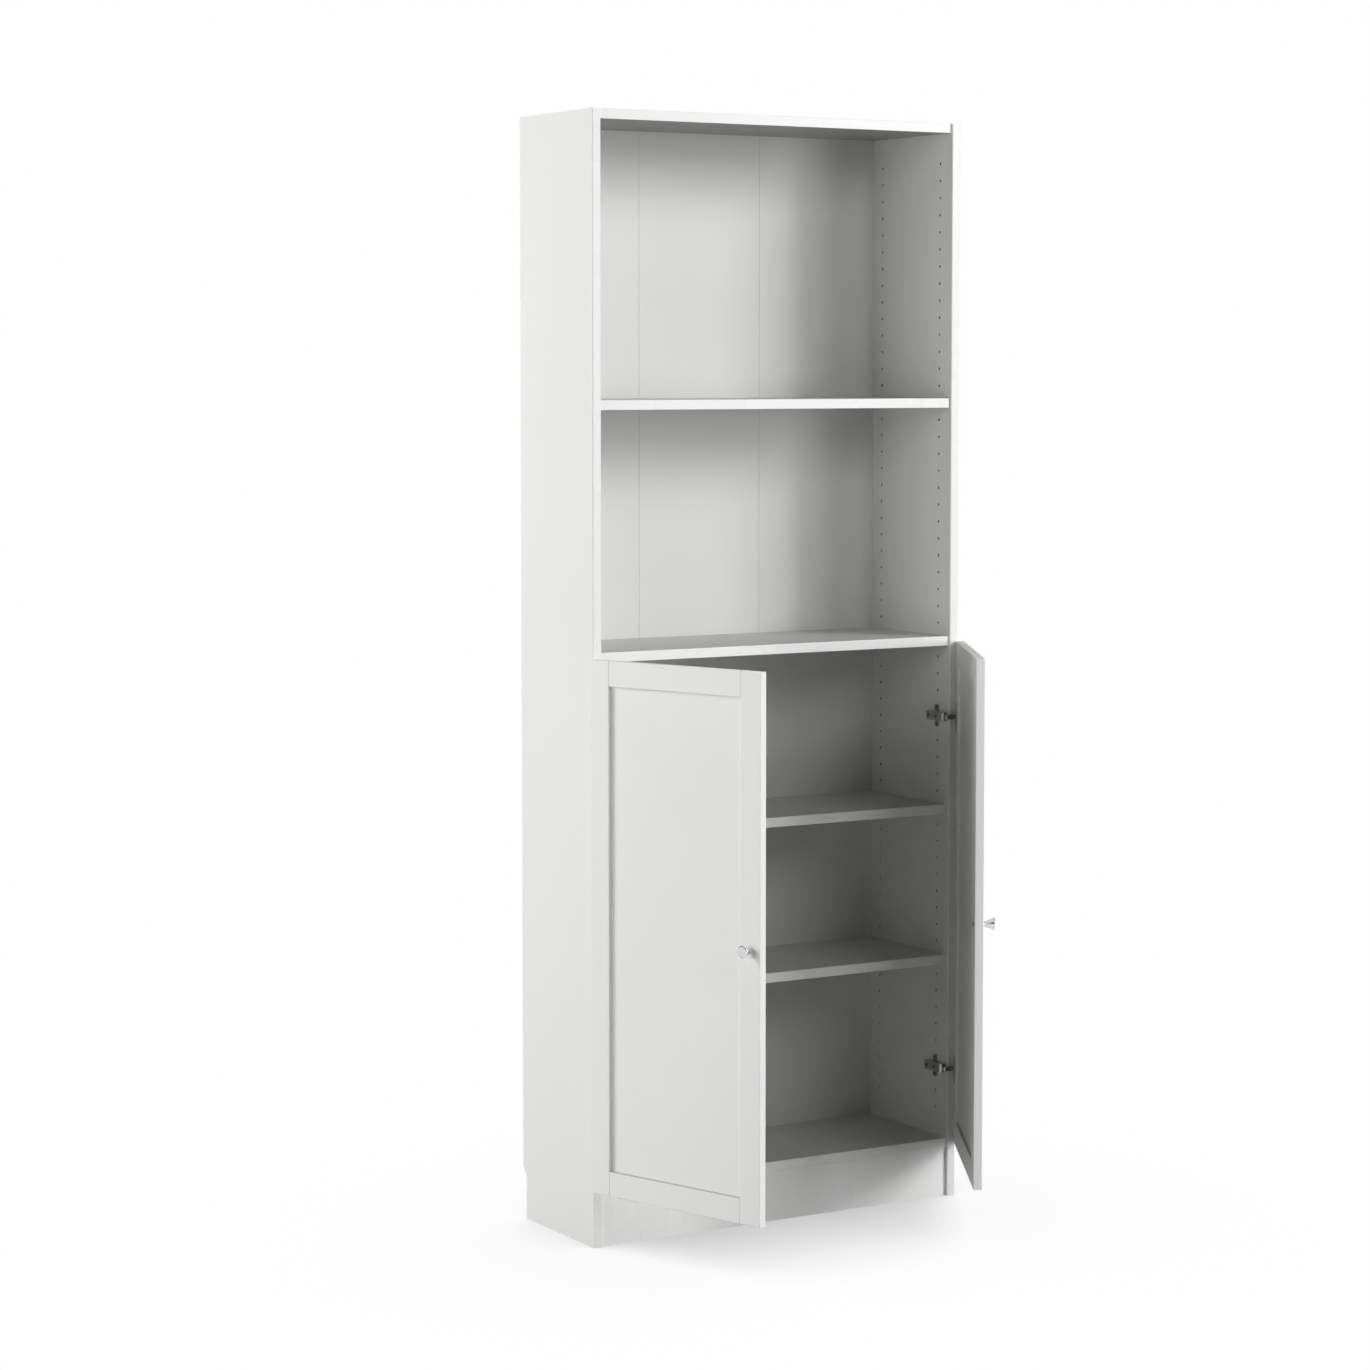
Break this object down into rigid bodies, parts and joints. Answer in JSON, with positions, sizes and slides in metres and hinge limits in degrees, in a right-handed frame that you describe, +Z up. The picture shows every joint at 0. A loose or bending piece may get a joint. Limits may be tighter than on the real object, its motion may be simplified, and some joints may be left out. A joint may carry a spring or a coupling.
{
  "type": "bookcase",
  "caption": "Tall narrow bookcase with open bays above a cupboard closed by framed panel doors on concealed hinges, on a recessed plinth.",
  "frame": {"origin": "on the floor, in the middle of the plinth board's underside", "axes": "+X to the right seen from the front, +Y to the rear, +Z up"},
  "size_m": [0.8085, 0.6449, 2.031],
  "materials": {
    "white_foil": "satin white foil on particle board",
    "back_board": "matt white fibre board",
    "door_paint": "satin white lacquer",
    "nickel": "nickel-plated pressed steel",
    "screw_steel": "zinc-plated steel",
    "zinc": "die-cast zinc",
    "beech": "plain beech",
    "chrome": "polished"
  },
  "bodies": {
    "carcass": {"adjusting_screws": "screw_steel", "back_strip_left": "back_board", "back_strip_middle": "back_board", "back_strip_right": "back_board", "bottom_shelf": "white_foil", "cabinet_shelf_lower": "white_foil", "cabinet_shelf_upper": "white_foil", "cam_bolts": "screw_steel", "cam_locks": "zinc", "dowels": "beech", "left_hinge_arm_lower": "nickel", "left_hinge_arm_upper": "nickel", "left_hinge_plate_lower": "nickel", "left_hinge_plate_upper": "nickel", "left_side": "white_foil", "middle_shelf": "white_foil", "open_bay_shelf": "white_foil", "plate_screws": "screw_steel", "plinth_board": "white_foil", "right_hinge_arm_lower": "nickel", "right_hinge_arm_upper": "nickel", "right_hinge_plate_lower": "nickel", "right_hinge_plate_upper": "nickel", "right_side": "white_foil", "shelf_pins": "screw_steel", "top_panel": "white_foil"},
    "left_door": {"left_bottom_rail": "door_paint", "left_cup_screws": "screw_steel", "left_door_panel": "door_paint", "left_hinge_cup_lower": "nickel", "left_hinge_cup_upper": "nickel", "left_hinge_pins": "screw_steel", "left_hinge_stile": "door_paint", "left_knob": "chrome", "left_knob_screw": "screw_steel", "left_lock_stile": "door_paint", "left_top_rail": "door_paint"},
    "right_door": {"right_bottom_rail": "door_paint", "right_cup_screws": "screw_steel", "right_door_panel": "door_paint", "right_hinge_cup_lower": "nickel", "right_hinge_cup_upper": "nickel", "right_hinge_pins": "screw_steel", "right_hinge_stile": "door_paint", "right_knob": "chrome", "right_knob_screw": "screw_steel", "right_lock_stile": "door_paint", "right_top_rail": "door_paint"}
  },
  "joints": [
    {"name": "left_door_swing", "type": "hinge", "parent": "carcass", "child": "left_door", "pos_m": [-0.391, -0.0185, 0.582], "axis": [0, 0, -1], "range_deg": [-71.5, 33.5]},
    {"name": "right_door_swing", "type": "hinge", "parent": "carcass", "child": "right_door", "pos_m": [0.391, -0.0185, 0.582], "axis": [0, 0, 1], "range_deg": [-60, 45]}
  ]
}
